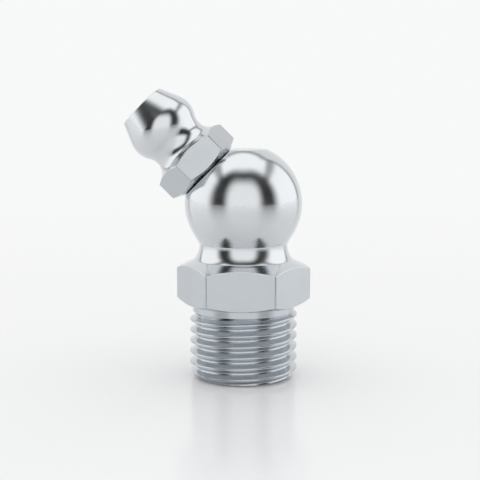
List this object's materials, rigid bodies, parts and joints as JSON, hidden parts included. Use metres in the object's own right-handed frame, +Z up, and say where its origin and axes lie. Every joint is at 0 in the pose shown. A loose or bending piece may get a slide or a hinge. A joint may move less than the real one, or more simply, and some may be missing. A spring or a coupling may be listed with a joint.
{
  "type": "grease nipple",
  "caption": "Angled 45 degree grease nipple with threaded shank, wrench hexagon, ball body and a screwed-in coupler head with a spring-loaded check ball.",
  "frame": {"origin": "middle of the threaded end's face, on the shank's axis", "axes": "+Z up the shank through the hexagon and the ball; the coupler head leans 45 degrees from +Z towards -X; two flats of the hexagon are square to Y"},
  "size_m": [0.0171, 0.0108, 0.0266],
  "materials": {
    "plated_steel": "bright plated, turned surfaces mirror-like, hexagon flats satin",
    "nipple_steel": "bright plated, fine turning lines, small hexagon flats satin",
    "ball_steel": "polished hardened steel",
    "spring_steel": "drawn spring wire"
  },
  "bodies": {
    "fitting": {"body": "plated_steel", "nipple": "nipple_steel", "check_spring": "spring_steel"},
    "valve_ball": {"check_ball": "ball_steel"}
  },
  "joints": [
    {"name": "check_ball_slide", "type": "slide", "parent": "fitting", "child": "valve_ball", "axis": [0.7071, 0, -0.7071], "range_m": [0, 0.002], "stiffness_N_per_m": 300, "deforming": ["check_spring"]}
  ]
}
